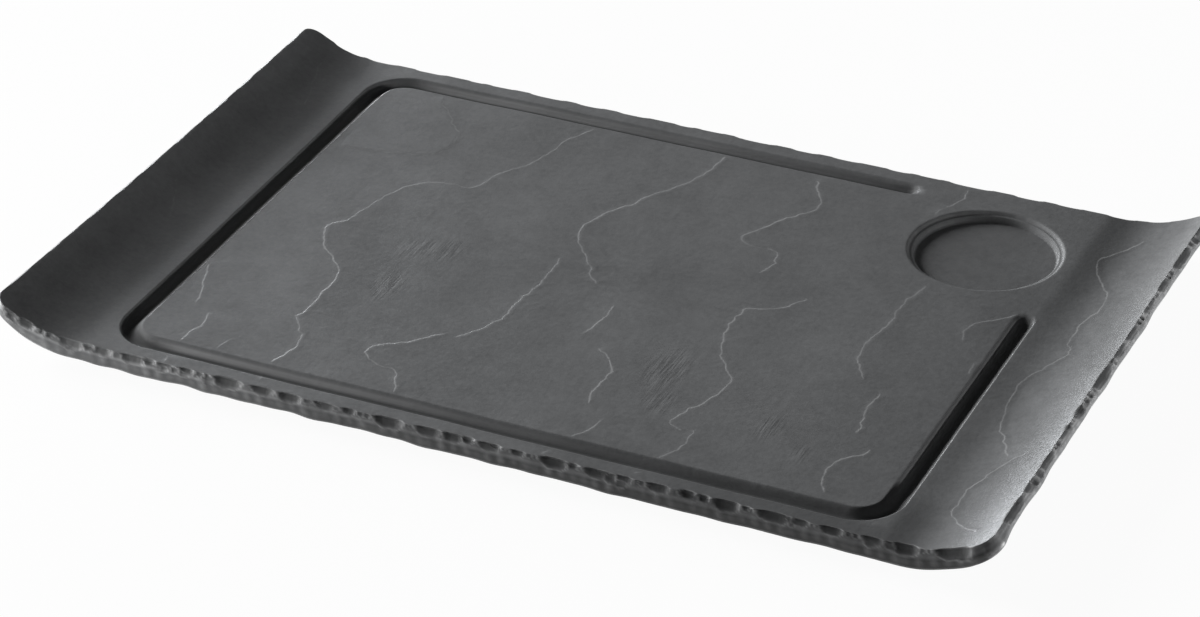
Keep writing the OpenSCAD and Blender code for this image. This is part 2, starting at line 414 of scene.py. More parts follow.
def right_run(x, y):
    """1 along the right run of the groove, fading to 0 before its front bend."""
    return smoothstep(x, GROOVE_X - 9.0, GROOVE_X - 6.0) * (1 - smoothstep(-y, 84.0, 96.0))


def soft_side(x, y):
    """1 where the groove's wall is soft: its field side at the front and right, and its outer side at the
    back."""
    field = field_side(x, y)
    return field * (1 - left_run(x, y)) * (1 - back_run(y)) + (1 - field) * back_run(y)


def groove_depth(x, y):
    """On a sharp side a circle for the bottom, then a smaller circle for the lip that touches it and the
    flat top. On a soft side a slope as soft as a smoothstep or, at the right, two of them: a low shoulder
    and a steep wall."""
    a = np.abs(groove_across(x, y))
    above = GROOVE_R - GROOVE_DEPTH
    lip_at = np.sqrt((GROOVE_R + LIP_R) ** 2 - (above + LIP_R) ** 2)
    meet = lip_at * GROOVE_R / (GROOVE_R + LIP_R)
    bottom = np.sqrt(np.maximum(GROOVE_R**2 - a**2, 0.0)) - above
    lip = LIP_R - np.sqrt(np.maximum(LIP_R**2 - (lip_at - a) ** 2, 0.0))
    cut = np.where(a < meet, bottom, np.where(a < lip_at, lip, 0.0))
    soft = GROOVE_DEPTH * (1 - smoothstep(a, SOFT_FROM, SOFT_TO))
    shoulder = SHOULDER_DEPTH * (1 - smoothstep(a, SHOULDER_FROM, SOFT_TO))
    steep = (GROOVE_DEPTH - SHOULDER_DEPTH) * (1 - smoothstep(a, STEEP_FROM, SHOULDER_FROM))
    soft = soft + right_run(x, y) * (shoulder + steep - soft)
    side = soft_side(x, y)
    return (1 - side) * cut + side * soft


def well_depth(x, y):
    """Two soft steps: one from the top to the ledge and one from the ledge to the floor."""
    radius = np.hypot(x - WELL_X, y - WELL_Y)
    ledge = LEDGE_DEPTH * (1 - smoothstep(radius, WELL_R - 0.8, WELL_R + 0.5))
    floor = (WELL_DEPTH - LEDGE_DEPTH) * (1 - smoothstep(radius, WELL_R - 2.8, WELL_R - 1.6))
    return ledge + floor


print(f"groove {GROOVE_DEPTH} mm and well {WELL_DEPTH} mm deep, ledge at {LEDGE_DEPTH} mm")

# %% [markdown]
# ## A grid that follows the shape
# The top is a grid of lines in x and y, lifted to the height of the surface. Even spacing would waste
# faces on the flat field and starve the lips, so the lines are packed where the surface bends. Straight
# lines also cut a round lip into steps. Around the well, and at the bends of the groove, each square ring
# of the grid is therefore pulled into a circle, so that the faces run along the lip.

# %% Graded lines and round rings
FIELD_SPACING = 1.52
END_SPACING = 1.9
GROOVE_SPACING = 0.95
LIP_SPACING = 0.5
GROOVE_LIP_SPACING = 0.26
SPACING_GROWTH = 0.35


def band(at, centre, half, fine):
    """Spacing that is fine within half of a centre and grows steadily away from it."""
    return fine + SPACING_GROWTH * np.maximum(np.abs(at - centre) - half, 0.0)


def graded_lines(low, high, spacing):
    """Places from low to high whose gaps follow spacing: equal steps of the running total of 1/gap."""
    at = np.linspace(low, high, 20001)
    density = 1.0 / spacing(at)
    total = np.concatenate([[0.0], np.cumsum((density[1:] + density[:-1]) / 2 * np.diff(at))])
    count = int(round(total[-1]))
    return np.interp(np.linspace(0.0, total[-1], count + 1), total, at)


def top_spacing(at, groove_at, well_at, coarse):
    """The closest of the spacings that the groove, the well's lip and the plain stretches ask for."""
    lip_ring = WELL_R - 1.2
    lip_at = GROOVE_MOUTH / 2
    bands = [band(at, well_at + side * lip_ring, 2.0, LIP_SPACING) for side in (-1, 1)]
    for side in (-1, 1):
        bands.append(band(at, side * groove_at, 4.5, GROOVE_SPACING))
        bands.append(band(at, side * (groove_at - lip_at), 0.3, GROOVE_LIP_SPACING))
        bands.append(band(at, side * (groove_at + lip_at), 0.3, GROOVE_LIP_SPACING))
    return np.minimum.reduce(bands + [coarse])


def rounding(dx, dy, full, end):
    """Shift that bends square rings round a centre into circles. A point of ring max(|dx|, |dy|) goes to
    that radius, wholly up to ring full, and by less and less up to ring end."""
    ring = np.maximum(np.abs(dx), np.abs(dy))
    share = 1 - smoothstep(ring, full, end)
    pull = share * (ring / np.maximum(np.hypot(dx, dy), 1e-9) - 1)
    return dx * pull, dy * pull


def corner_rounding(x, y, centre, full, end):
    """The same shift for the one quarter of the rings that lies outside a corner's centre."""
    side_x, side_y = np.sign(centre[0]), np.sign(centre[1])
    dx = np.maximum((x - centre[0]) * side_x, 0.0)
    dy = np.maximum((y - centre[1]) * side_y, 0.0)
    shift_x, shift_y = rounding(dx, dy, full, end)
    return side_x * shift_x, side_y * shift_y


print(f"spacing from {GROOVE_LIP_SPACING} mm on the groove's lips to {END_SPACING} mm on the ends")

# %% Lay out the grid of the top
TOP_CORNER_R = 6.5
EDGE_BAND = 3.6
SEAM = 0.5
TOP_INSET = EDGE_BAND + SEAM
top_x = RIM_X - TOP_INSET
top_y = HALF_W - TOP_INSET
x_lines = graded_lines(
    -top_x, top_x,
    lambda at: top_spacing(
        at, GROOVE_X, WELL_X, np.where(np.abs(at) > BEND_X, END_SPACING, FIELD_SPACING)
    ),
)
y_lines = graded_lines(
    -top_y, top_y, lambda at: top_spacing(at, GROOVE_Y, WELL_Y, np.full_like(at, FIELD_SPACING))
)
grid_x, grid_y = np.meshgrid(x_lines, y_lines)
shift_x, shift_y = rounding(grid_x - WELL_X, grid_y - WELL_Y, WELL_R + 1.0, WELL_R + 10.0)
BEND_CENTRE_X = GROOVE_X - GROOVE_BEND_R
BEND_CENTRE_Y = GROOVE_Y - GROOVE_BEND_R
for side_x, side_y in ((-1, 1), (-1, -1), (1, -1)):
    centre = (side_x * BEND_CENTRE_X, side_y * BEND_CENTRE_Y)
    full = GROOVE_BEND_R + 5.2
    move_x, move_y = corner_rounding(grid_x, grid_y, centre, full, top_y - BEND_CENTRE_Y)
    shift_x += move_x
    shift_y += move_y
corner_r = TOP_CORNER_R - TOP_INSET
for side_x in (-1, 1):
    for side_y in (-1, 1):
        centre = (side_x * (top_x - corner_r), side_y * (top_y - corner_r))
        move_x, move_y = corner_rounding(grid_x, grid_y, centre, corner_r, 2 * corner_r)
        shift_x += move_x
        shift_y += move_y
grid_x = grid_x + shift_x
grid_y = grid_y + shift_y
print(f"top grid of {len(x_lines)} x {len(y_lines)} lines")

# %% [markdown]
# ## The top surface
# A cast plate is never quite flat: it has a slow swell that shows in the way light slides over it. A few
# sine waves in different directions make one, and a fixed seed makes it the same each time. The height of
# the top is then the arc of the ends, less the groove and the well, plus the steps of the split lines,
# plus the swell. The split lines stop at the groove and the well, which are cut through them.

# %% Height of the top
SWELL = 0.10
swell_waves = np.random.default_rng(11).uniform(size=(7, 3))


def swell(x, y):
    """Sum of sine waves, each with its own direction, a length from 30 to 110 mm and a phase."""
    total = np.zeros_like(x)
    for turn, stretch, phase in swell_waves:
        length = 30.0 + 80.0 * stretch
        along = x * np.cos(2 * np.pi * turn) + y * np.sin(2 * np.pi * turn)
        total += np.sin(2 * np.pi * (along / length + phase))
    return SWELL * total / np.sqrt(len(swell_waves))


def top_surface(x, y):
    """Height of the finished top, with the split lines' offset and nearness for the shader."""
    sunk = groove_depth(x, y) + well_depth(x, y)
    whole = 1 - smoothstep(sunk, 0.02, 0.6)
    offset, nearness, relief = split_fields(x, y)
    height = top_height(x) - sunk + relief * whole + swell(x, y)
    return height, offset, nearness * whole


grid_z, grid_offset, grid_nearness = top_surface(grid_x, grid_y)
print(f"top from {grid_z.min():.2f} to {grid_z.max():.2f} mm")

# %% [markdown]
# ## Scuffed places
# In a few patches the field is roughened by fine strokes, all much the same way. Painting the strokes one by
# one would take a fine mesh, so the mesh only stores how scuffed each point is, in soft spots whose places
# are pixels of the photograph. The strokes themselves are drawn by the shader.

# %% Places where the field is scuffed: pixel, half width and half length in millimetres
SCUFFS = {
    "left": ((388, 284), 6.0, 12.0),
    "left_upper": ((420, 250), 9.0, 8.0),
    "left_back": ((450, 250), 6.0, 9.0),
    "middle": ((668, 370), 8.0, 15.0),
    "middle_front": ((660, 403), 6.0, 8.0),
    "right": ((769, 428), 5.0, 9.0),
    "right_front": ((801, 455), 4.0, 6.0),
}
grid_scuff = np.zeros_like(grid_x)
for pixel, half_width, half_length in SCUFFS.values():
    at_x, at_y, _ = on_top([pixel])[0]
    away = ((grid_x - at_x) / half_width) ** 2 + ((grid_y - at_y) / half_length) ** 2
    grid_scuff = np.maximum(grid_scuff, np.exp(-(away**2)))
print(f"{(grid_scuff > 0.1).mean():.1%} of the top is scuffed")

# %% [markdown]
# ## The line of the edge
# The chipped edge runs all the way round, so it is a ring: a section carried along the outline. The
# outline is a rounded rectangle. Its corner circles have centres that slide along a smaller rectangle
# while the angle they face stays still on the straight sides and turns at the corners. Both change evenly
# with the distance travelled, so two table look-ups give every point of the outline. The rim's face leans
# in towards the top, so the corners are tighter along the top edge than they are lower down.

# %% Outline of the top edge
STRAIGHT_X = RIM_X - TOP_CORNER_R
STRAIGHT_Y = HALF_W - TOP_CORNER_R
QUARTER = np.pi / 2 * TOP_CORNER_R
outline_breaks = np.cumsum([0.0] + 2 * [2 * STRAIGHT_X, QUARTER, 2 * STRAIGHT_Y, QUARTER])
OUTLINE_LENGTH = outline_breaks[-1]


def outline(distance):
    """Point at a distance along the top edge, anticlockwise from the front left, and the angle it faces."""
    a, b = STRAIGHT_X, STRAIGHT_Y
    centre_x = np.interp(distance, outline_breaks, [-a, a, a, a, a, -a, -a, -a, -a])
    centre_y = np.interp(distance, outline_breaks, [-b, -b, -b, b, b, b, b, -b, -b])
    turns = np.array([-1, -1, 0, 0, 1, 1, 2, 2, 3]) * np.pi / 2
    angle = np.interp(distance, outline_breaks, turns)
    return centre_x + TOP_CORNER_R * np.cos(angle), centre_y + TOP_CORNER_R * np.sin(angle), angle


def outline_distance(x, y):
    """The reverse: how far along the outline the nearest point to (x, y) lies."""
    centre_x = np.clip(x, -STRAIGHT_X, STRAIGHT_X)
    centre_y = np.clip(y, -STRAIGHT_Y, STRAIGHT_Y)
    angle = np.arctan2(y - centre_y, x - centre_x)
    angle = np.where(angle < -np.pi / 2 - 1e-9, angle + 2 * np.pi, angle)
    quarter = np.clip(np.floor(angle / (np.pi / 2) + 1 + 1e-9), 0, 3).astype(int)
    travel = np.choose(quarter, [
        centre_x + STRAIGHT_X, centre_y + STRAIGHT_Y, STRAIGHT_X - centre_x, STRAIGHT_Y - centre_y,
    ])
    return outline_breaks[2 * quarter] + travel + TOP_CORNER_R * (angle - (quarter - 1) * np.pi / 2)


print(f"the edge is {OUTLINE_LENGTH:.0f} mm long")

# %% [markdown]
# ## The chips
# A chip leaves a shallow round scar, like a thumb print, and neighbours meet in a sharp cusp. The solids
# cut each one with a ball set on the edge, and the same formula is repeated here, so every scar is where
# the solid has it. Only those of the left rim are shallower here, because that rim looks almost smooth.
# A ball that bites a depth d over a half length h has the radius (h^2 + d^2) / 2d.

# %% Balls that cut the chips
FRONT_CHIP_PITCH = 13.0
FRONT_CHIP_DEPTH = 1.6
RIM_CHIP_PITCH = 18.0
RIM_CHIP_DEPTH = 1.1
LEFT_CHIP_DEPTH = 0.5
CHIP_TILT = np.radians(25.0)
CHIP_SHARE = 0.8
CHIP_LENGTH_SPREAD = 0.45
CHIP_DEPTH_SPREAD = 0.3
CHIP_PLACE_SPREAD = 0.25


def uneven(i, kind):
    """A repeatable uneven number from -1 to 1: the mean of two sines of steps that never line up."""
    first = np.sin(np.radians(137.5 * i + 61 * kind))
    second = np.sin(np.radians(73.3 * i + 29 * kind))
    return (first + second) / 2


def edge_frame(x, angle):
    """Unit normal of the top at x, and the unit direction in the top that leads out over the edge."""
    slope = np.sign(x) * np.arcsin(run_out(x, TOP_R) / TOP_R)
    up = np.stack([-np.sin(slope), np.zeros_like(slope), np.cos(slope)], -1)
    level = np.stack([np.cos(angle), np.sin(angle), np.zeros_like(angle)], -1)
    out = level - (level * up).sum(-1, keepdims=True) * up
    return up, out / np.linalg.norm(out, axis=-1, keepdims=True)


def spread_chips(length, turn, pitch, mean_depth):
    """Places of the chips along a side of this length that faces a turn in degrees, with their half
    lengths and depths."""
    count = int(length // pitch)
    i = np.arange(count)
    along = length * ((i + 0.5 + CHIP_PLACE_SPREAD * uneven(i + turn, 1)) / count - 0.5)
    half = CHIP_SHARE * length / count / 2 * (1 + CHIP_LENGTH_SPREAD * uneven(i + turn, 2))
    depth = mean_depth * (1 + CHIP_DEPTH_SPREAD * uneven(i + turn, 3))
    return along, half, depth


def on_side(along, turn, distance):
    """x, y and facing angle of places along a side that faces a turn, at a distance from the middle."""
    angle = np.full(len(along), np.radians(turn))
    x = distance * np.cos(angle) - along * np.sin(angle)
    y = distance * np.sin(angle) + along * np.cos(angle)
    return x, y, angle


def balls_at(x, y, angle, half, depth, tilt, drop):
    """Balls that bite this deep over this half length, a drop below the top edge at (x, y): centre,
    radius, facing, direction of the edge and half length."""
    radius = (half**2 + depth**2) / (2 * depth)
    up, out = edge_frame(x, angle)
    facing = np.cos(tilt)[:, None] * out + np.sin(tilt)[:, None] * up
    edge = np.stack([x, y, top_height(x)], -1) - drop[:, None] * up
    return edge + (radius - depth)[:, None] * facing, radius, facing, np.cross(up, out), half


print(f"a chip about every {FRONT_CHIP_PITCH} mm at the front and {RIM_CHIP_PITCH} mm elsewhere")

# %% Chips of the four sides: length, way it faces in degrees, distance from the middle, pitch and depth
CHIP_RUN_X = 2 * (RIM_X - CORNER_R)
CHIP_RUN_Y = 2 * (HALF_W - CORNER_R)
SIDES = {
    "front": (CHIP_RUN_X, -90, HALF_W, FRONT_CHIP_PITCH, FRONT_CHIP_DEPTH),
    "back": (CHIP_RUN_X, 90, HALF_W, RIM_CHIP_PITCH, RIM_CHIP_DEPTH),
    "right": (CHIP_RUN_Y, 0, RIM_X, RIM_CHIP_PITCH, RIM_CHIP_DEPTH),
    "left": (CHIP_RUN_Y, 180, RIM_X, RIM_CHIP_PITCH, LEFT_CHIP_DEPTH),
}
ball_groups = []
for length, turn, distance, pitch, mean_depth in SIDES.values():
    along, half, depth = spread_chips(length, turn, pitch, mean_depth)
    tilt = np.full(len(along), CHIP_TILT)
    ball_groups.append(balls_at(*on_side(along, turn, distance), half, depth, tilt, np.zeros_like(along)))
print(sum(len(group[1]) for group in ball_groups), "chips, as in the solids")

# %% [markdown]
# ## Small chips and flakes
# A broken edge has damage of every size. On the front and the right, where the edge is seen best, each wide
# gap between two scars gets a pair of small chips, and a seeded generator scatters flakes that break up the
# cusps and the wall below them. They are cut with balls too, so nothing new is needed but places and sizes.

# %% Pairs of small chips in the gaps
PAIR_SHARES = np.array([0.27, 0.72])
PAIR_HALF = 0.21
PAIR_DROP = 0.5
WIDE_GAP = 2.0
for length, turn, distance, pitch, mean_depth in (SIDES["front"], SIDES["right"]):
    along, half, depth = spread_chips(length, turn, pitch, mean_depth)
    gap_start = (along + half)[:-1]
    gap_length = (along - half)[1:] - gap_start
    wide = gap_length > WIDE_GAP
    pair_at = (gap_start[wide, None] + gap_length[wide, None] * PAIR_SHARES).ravel()
    pair_half = PAIR_HALF * np.repeat(gap_length[wide], 2)
    pair_depth = 0.45 + 0.45 * pair_half
    tilt = np.full(len(pair_at), CHIP_TILT)
    drop = np.full(len(pair_at), PAIR_DROP)
    ball_groups.append(balls_at(*on_side(pair_at, turn, distance), pair_half, pair_depth, tilt, drop))
print(sum(len(group[1]) for group in ball_groups[len(SIDES):]), "small chips")

# %% Flakes on the front and the right
FLAKES = 320
luck = np.random.default_rng(5).uniform(size=(5, FLAKES))
flake_angle = outline(luck[0] * OUTLINE_LENGTH)[2]
front_or_right = (np.sin(flake_angle) < -0.5) | (np.cos(flake_angle) > 0.5)
flake_place, flake_size, flake_bite, flake_lean, flake_low = luck[:, front_or_right]
flake_half = 0.9 + 2.0 * flake_size**2
flake_depth = flake_half * (0.22 + 0.18 * flake_bite)
flake_tilt = np.radians(5.0 + 55.0 * flake_lean)
flake_drop = 2.4 * flake_low * np.cos(flake_tilt)
flake_edge = outline(flake_place * OUTLINE_LENGTH)
ball_groups.append(balls_at(*flake_edge, flake_half, flake_depth, flake_tilt, flake_drop))
balls = [np.concatenate(parts) for parts in zip(*ball_groups)]
print(f"{len(flake_half)} flakes, {2 * flake_half.min():.1f} to {2 * flake_half.max():.1f} mm long")

# %% [markdown]
# ## The ring of the edge
# The section starts on the flat top, turns over the edge, goes down the wall and tucks under. Each row of
# the ring is one place of that section and each column one place of the outline, so the whole ring is a
# few array sums. A wall broken by hand waves in and out, more so at the bottom. Its lower edge waves up and
# down at the front left and hangs a little at the front right, where the corner is also fuller at its foot.

# %% Places along the outline, and how the wall waves there
EDGE_COLUMNS = 1440
TUCK = 0.7
BEVEL = 0.5
RIDGE = 0.32
WANDER = 0.30
LUMPS = 0.10
CORNER_FULLER = 1.7
CORNER_INSET = 4.0
CORNER_REACH = 12.0
LOW_WAVES = 0.08
FRONT_LOW_WAVES = 0.22
FRONT_HANG = 0.7
FLANGE_INSETS = np.array([3.6, 3.1, 2.65, 2.2, 1.75, 1.35, 0.95, 0.62])
WALL_SHARES = np.array([0.02, 0.07, 0.12, 0.18, 0.24, 0.31, 0.38, 0.44, 0.51, 0.60, 0.72, 0.86, 0.97])
UNDER_INSETS = np.array([0.7, 2.0, 4.2])


def waves_round(distance, lengths, seed):
    """Sum of sines of about these lengths, each fitted a whole number of times round the outline."""
    phases = np.random.default_rng(seed).uniform(0, 2 * np.pi, len(lengths))
    counts = np.round(OUTLINE_LENGTH / np.asarray(lengths))
    turns = 2 * np.pi * distance[None, :] / OUTLINE_LENGTH
    return np.sin(counts[:, None] * turns + phases[:, None]).sum(0) / np.sqrt(len(lengths))


edge_at = np.arange(EDGE_COLUMNS) / EDGE_COLUMNS * OUTLINE_LENGTH
edge_x, edge_y, edge_angle = outline(edge_at)
out_x, out_y = np.cos(edge_angle), np.sin(edge_angle)
stretch = (END_X - BEND_X) / (RIM_X - BEND_X)
low_x = np.sign(edge_x) * (np.minimum(np.abs(edge_x), BEND_X) + run_out(edge_x, TOP_R) * stretch)
from_corner = np.hypot(edge_x - RIM_X + CORNER_INSET, edge_y + HALF_W - CORNER_INSET)
wander = WANDER * waves_round(edge_at, [83, 61, 37, 23], 3)
wander += CORNER_FULLER * np.exp(-((from_corner / CORNER_REACH) ** 2))
lumps = LUMPS * waves_round(edge_at, [11, 8.3, 6.1, 4.7], 4)
in_front = smoothstep(-edge_y, HALF_W - 8.0, HALF_W - 1.0)
to_right = smoothstep(edge_x, -150.0, 150.0)
low_waves = LOW_WAVES + FRONT_LOW_WAVES * in_front * (1 - to_right)
low_lift = low_waves * waves_round(edge_at, [41, 23, 15], 6)
low_lift -= FRONT_HANG * in_front * smoothstep(edge_x, -80.0, 100.0)

print(f"the wall wanders by {np.abs(wander).max():.2f} mm, its low edge by {np.abs(low_lift).max():.2f} mm")

# %% Rows of the ring, from the flat top to the underside
flange_x = edge_x - FLANGE_INSETS[:, None] * out_x
flange_y = edge_y - FLANGE_INSETS[:, None] * out_y
flange_z, flange_offset, flange_nearness = top_surface(flange_x, flange_y)

share = WALL_SHARES[:, None]
bevel = BEVEL * np.clip(1 - share / RIDGE, 0.0, 1.0)
tuck = TUCK * smoothstep(share, 0.5, 1.1)
bulge = wander * smoothstep(share, 0.1, 0.9) + lumps * np.sin(np.pi * share) - bevel - tuck
wall_x = edge_x + share * (low_x - edge_x) + bulge * out_x
wall_y = edge_y + bulge * out_y
wall_z = top_height(edge_x) + share * (under_height(low_x) + low_lift - top_height(edge_x))

from_wall = 1 - smoothstep(UNDER_INSETS, UNDER_INSETS[0], UNDER_INSETS[-1])[:, None]
under_inset = UNDER_INSETS[:, None] + TUCK - wander * from_wall
rim_x = low_x - under_inset * out_x
rim_y = edge_y - under_inset * out_y
rim_z = under_height(rim_x) + 0.6 * low_lift * from_wall

ring = np.stack([
    np.concatenate([flange_x, wall_x, rim_x]),
    np.concatenate([flange_y, wall_y, rim_y]),
    np.concatenate([flange_z, wall_z, rim_z]),
], axis=-1)
print(f"edge ring of {ring.shape[0]} rows and {ring.shape[1]} columns")

# %% [markdown]
# ## Cutting the chips
# A Boolean modifier could take the balls out of the ring, but it would leave long thin faces that shade
# badly. Here every point that lies inside a ball slides inwards along the ball's direction until it is on
# the ball's far side. The ring keeps its rows and columns, and how far a point slid says how deep it is.

# %% Cut the chips into the ring
FLATTEN = 0.8


def carve(points, balls):
    """Moves each point that is inside a ball to the ball's far side, against the way the ball faces.
    With g = p - c, the way to go is g.f + sqrt((g.f)^2 - |g|^2 + r^2). Along the edge, g is first bent
    to g (|g| / h)^0.8, which flattens the scar's middle and steepens its ends. The longest way wins."""
    longest = np.zeros(len(points))
    direction = np.zeros_like(points)
    for centre, radius, facing, along, half in zip(*balls):
        gap = points - centre
        close = np.flatnonzero((gap**2).sum(1) < (1.5 * radius) ** 2)
        gap = gap[close]
        place = gap @ along
        gap = gap + (place * (np.abs(place) / half) ** FLATTEN - place)[:, None] * along
        reach = gap @ facing
        room = reach**2 - (gap**2).sum(1) + radius**2
        inside = (gap**2).sum(1) < radius**2
        way = reach[inside] + np.sqrt(room[inside])
        spots = close[inside]
        longer = way > longest[spots]
        longest[spots[longer]] = way[longer]
        direction[spots[longer]] = facing
    return points - longest[:, None] * direction, longest


carved, cut_depth = carve(ring.reshape(-1, 3), balls)
ring = carved.reshape(ring.shape)
cut_depth = cut_depth.reshape(ring.shape[:2])
print(f"{(cut_depth > 0).mean():.0%} of the ring is cut, up to {cut_depth.max():.2f} mm deep")

# %% [markdown]
# ## Where the edge is painted lighter
# Cusps, lips and the ledge under the chips are painted lighter: partly wear, where the slip runs thin over
# sharp places, and partly a painted highlight where they catch the light. A sharp outward bend is easy to
# measure on a grid: the mean of a point's four neighbours lies behind the surface. That distance, kept from
# 0 to 1, goes into the mesh as a number for the shader to use.

# %% Measure the outward bends
PALER_BEND = 0.09


def outward_bend(points):
    """How far each point stands out from the mean of its neighbours, along the surface's normal."""
    along = np.roll(points, -1, axis=1) - np.roll(points, 1, axis=1)
    down = np.gradient(points, axis=0)
    normal = np.cross(down, along)
    normal /= np.maximum(np.linalg.norm(normal, axis=-1, keepdims=True), 1e-9)
    above = np.concatenate([points[:1], points[:-1]])
    below = np.concatenate([points[1:], points[-1:]])
    mean = (np.roll(points, -1, axis=1) + np.roll(points, 1, axis=1) + above + below) / 4
    return ((points - mean) * normal).sum(-1)


SCAR_FULL = 0.8
LEDGE_HIGHLIGHT = 0.9
LEDGE_HALF = 0.07
flange_rows = slice(0, len(FLANGE_INSETS))
wall_rows = slice(len(FLANGE_INSETS), len(FLANGE_INSETS) + len(WALL_SHARES))
# The scar share also darkens the chips in the shader: painted shade in their hollows.
ring_scar = np.clip(cut_depth / SCAR_FULL, 0.0, 1.0)
ring_worn_and_highlight = np.clip(outward_bend(ring) / PALER_BEND, 0.0, 1.0)
ring_worn_and_highlight[[0, -1]] = 0.0
# A band along the ledge under the chips is painted lighter as a painted highlight, less at the front right.
ledge = np.exp(-(((WALL_SHARES - RIDGE) / LEDGE_HALF) ** 2))
ledge_highlight = LEDGE_HIGHLIGHT * ledge[:, None] * (1 - 0.85 * in_front * to_right)
ring_worn_and_highlight[wall_rows] = np.maximum(ring_worn_and_highlight[wall_rows], ledge_highlight * (1 - ring_scar[wall_rows]))
ring_scar[flange_rows] *= 0.3
print(f"worn share of the ring {ring_worn_and_highlight.mean():.2f}, scarred share {ring_scar.mean():.2f}")

# %% [markdown]
# ## Painted shade and painted light
# The bottom of the groove, the foot of both ends, the front of the flange and the low part of the wall are
# darkened as painted shade, more so towards the right, and the groove's slopes and lips are painted lighter
# as painted light; the groove's walls are also matt. The shape alone doesn't say how much, so each share is
# drawn with soft steps in x, in y or across the groove, and goes into the mesh as a number too.

# %% Painted shade at the ends, along the front and low on the wall
FRONT_WALL_SHADE = 0.8


def painted_shade_share(x, y):
    """Share of painted shade at the foot of both ends and, growing to the right, along the front."""
    foot = smoothstep(np.abs(x), 154.0, 160.0) * (1 - smoothstep(np.abs(x), 165.0, 179.0))
    right = 0.16 + 0.40 * smoothstep(y, 10.0, 80.0) + 0.40 * smoothstep(-y, 84.0, 108.0)
    left = 0.24 * smoothstep(y, -110.0, -60.0)
    front = 0.36 * smoothstep(x, -20.0, 120.0) * smoothstep(-y, GROOVE_Y + 2.0, GROOVE_Y + 5.0)
    front = front * (1 - smoothstep(x, 168.0, 180.0))
    return np.maximum(foot * np.where(x > 0, right, left), front)


# Painted shade low on the wall, more at the front and growing to the right, and on the flange at the ends.
low_wall = smoothstep(WALL_SHARES, RIDGE + 0.06, RIDGE + 0.2)[:, None]
front_wall_shade = 0.15 + FRONT_WALL_SHADE * smoothstep(edge_x, -150.0, 80.0)
ring_painted_shade = np.zeros_like(ring_worn_and_highlight)
ring_painted_shade[wall_rows] = low_wall * (0.05 + in_front * front_wall_shade)
ring_painted_shade[flange_rows] = painted_shade_share(flange_x, flange_y)
print(f"shaded share of the ring {ring_painted_shade.mean():.2f}")

# %% Parts of the groove and of the well
grid_across = np.abs(groove_across(grid_x, grid_y))
grid_outer = 1 - field_side(grid_x, grid_y)
grid_left = left_run(grid_x, grid_y)
grid_back = back_run(grid_y)
well_gap = np.hypot(grid_x - WELL_X, grid_y - WELL_Y) - WELL_R
front_or_back = np.maximum(smoothstep(-grid_y, 94.0, 102.0), grid_back)
in_wall = 1 - smoothstep(grid_across, 3.0, GROOVE_MOUTH / 2 + 0.3)
at_bottom = 1 - smoothstep(grid_across, 0.9, 1.8)
low_slope = smoothstep(grid_across, 1.1, 1.7) * (1 - smoothstep(grid_across, 2.4, 3.6))
right_slope = right_run(grid_x, grid_y) * (1 - grid_outer) * in_wall * (1 - at_bottom)
outer_lip = np.exp(-(((grid_across - GROOVE_MOUTH / 2 - 0.15) / 0.4) ** 2)) * grid_outer
left_lip = smoothstep(grid_across, 2.0, 3.0) * (1 - smoothstep(grid_across, 4.4, 5.0)) * (1 - grid_outer)
left_lip = left_lip * grid_left
left_bend = np.exp(-(np.hypot(grid_x + GROOVE_X - 6.0, grid_y + GROOVE_Y - 6.0) / 9.0) ** 2)
past_bend = np.maximum(smoothstep(grid_x, -146.0, -124.0), grid_left)
to_left = 1 - smoothstep(grid_x, -130.0, 50.0 + 60.0 * front_or_back)
print(f"the groove is {(grid_across < GROOVE_MOUTH / 2).mean():.1%} of the top's points")

# %% Painted light and painted shade in the groove
SLOPE_LIGHT_PAINT = 0.9
WALL_LIGHT_PAINT = 0.36
SHOULDER_LIGHT_PAINT = 0.3
EVEN_LIGHT_PAINT = 0.08
LEFT_LIP_SHADE = 0.85
BEND_SHADE = 0.65
# Painted highlight: the groove's outer lip, away from the front and back runs, and the well's lip are
# lighter.
grid_lip_highlight = 0.1 * outer_lip * (1 - front_or_back)
grid_lip_highlight = np.maximum(grid_lip_highlight, 0.15 * np.exp(-((well_gap / 0.5) ** 2)))
grid_matt = np.maximum(in_wall, 1 - smoothstep(np.abs(well_gap + 1.2), 1.6, 2.4))
# Painted light: the groove's walls and slopes and the right run's shoulder are lighter, more so towards the
# left.
painted_light_share = (1 - front_or_back) * WALL_LIGHT_PAINT * in_wall + front_or_back * SLOPE_LIGHT_PAINT * low_slope
grid_painted_light = EVEN_LIGHT_PAINT * in_wall + painted_light_share * past_bend * to_left
grid_painted_light = np.maximum(grid_painted_light, SHOULDER_LIGHT_PAINT * right_slope) * (1 - left_lip)
# Painted shade: groove walls towards the right, the front left bend, the bottom, the left run's lip, the
# ends' foot.
grid_painted_shade = np.maximum.reduce([
    0.15 * smoothstep(grid_x, -10.0, 140.0) * in_wall,
    BEND_SHADE * left_bend * in_wall,
    (0.1 + 0.5 * front_or_back + 0.3 * grid_back) * at_bottom,
    LEFT_LIP_SHADE * left_lip,
    painted_shade_share(grid_x, grid_y),
])
print(f"shaded share of the top {grid_painted_shade.mean():.2f}, pale share {grid_painted_light.mean():.3f}")

# %% [markdown]
# ## The underside
# Nobody looks at it, but a part is judged from all sides. It is a coarse grid on the arc of the underside,
# with four round sockets for the feet, made by the same ring rounding as the well.

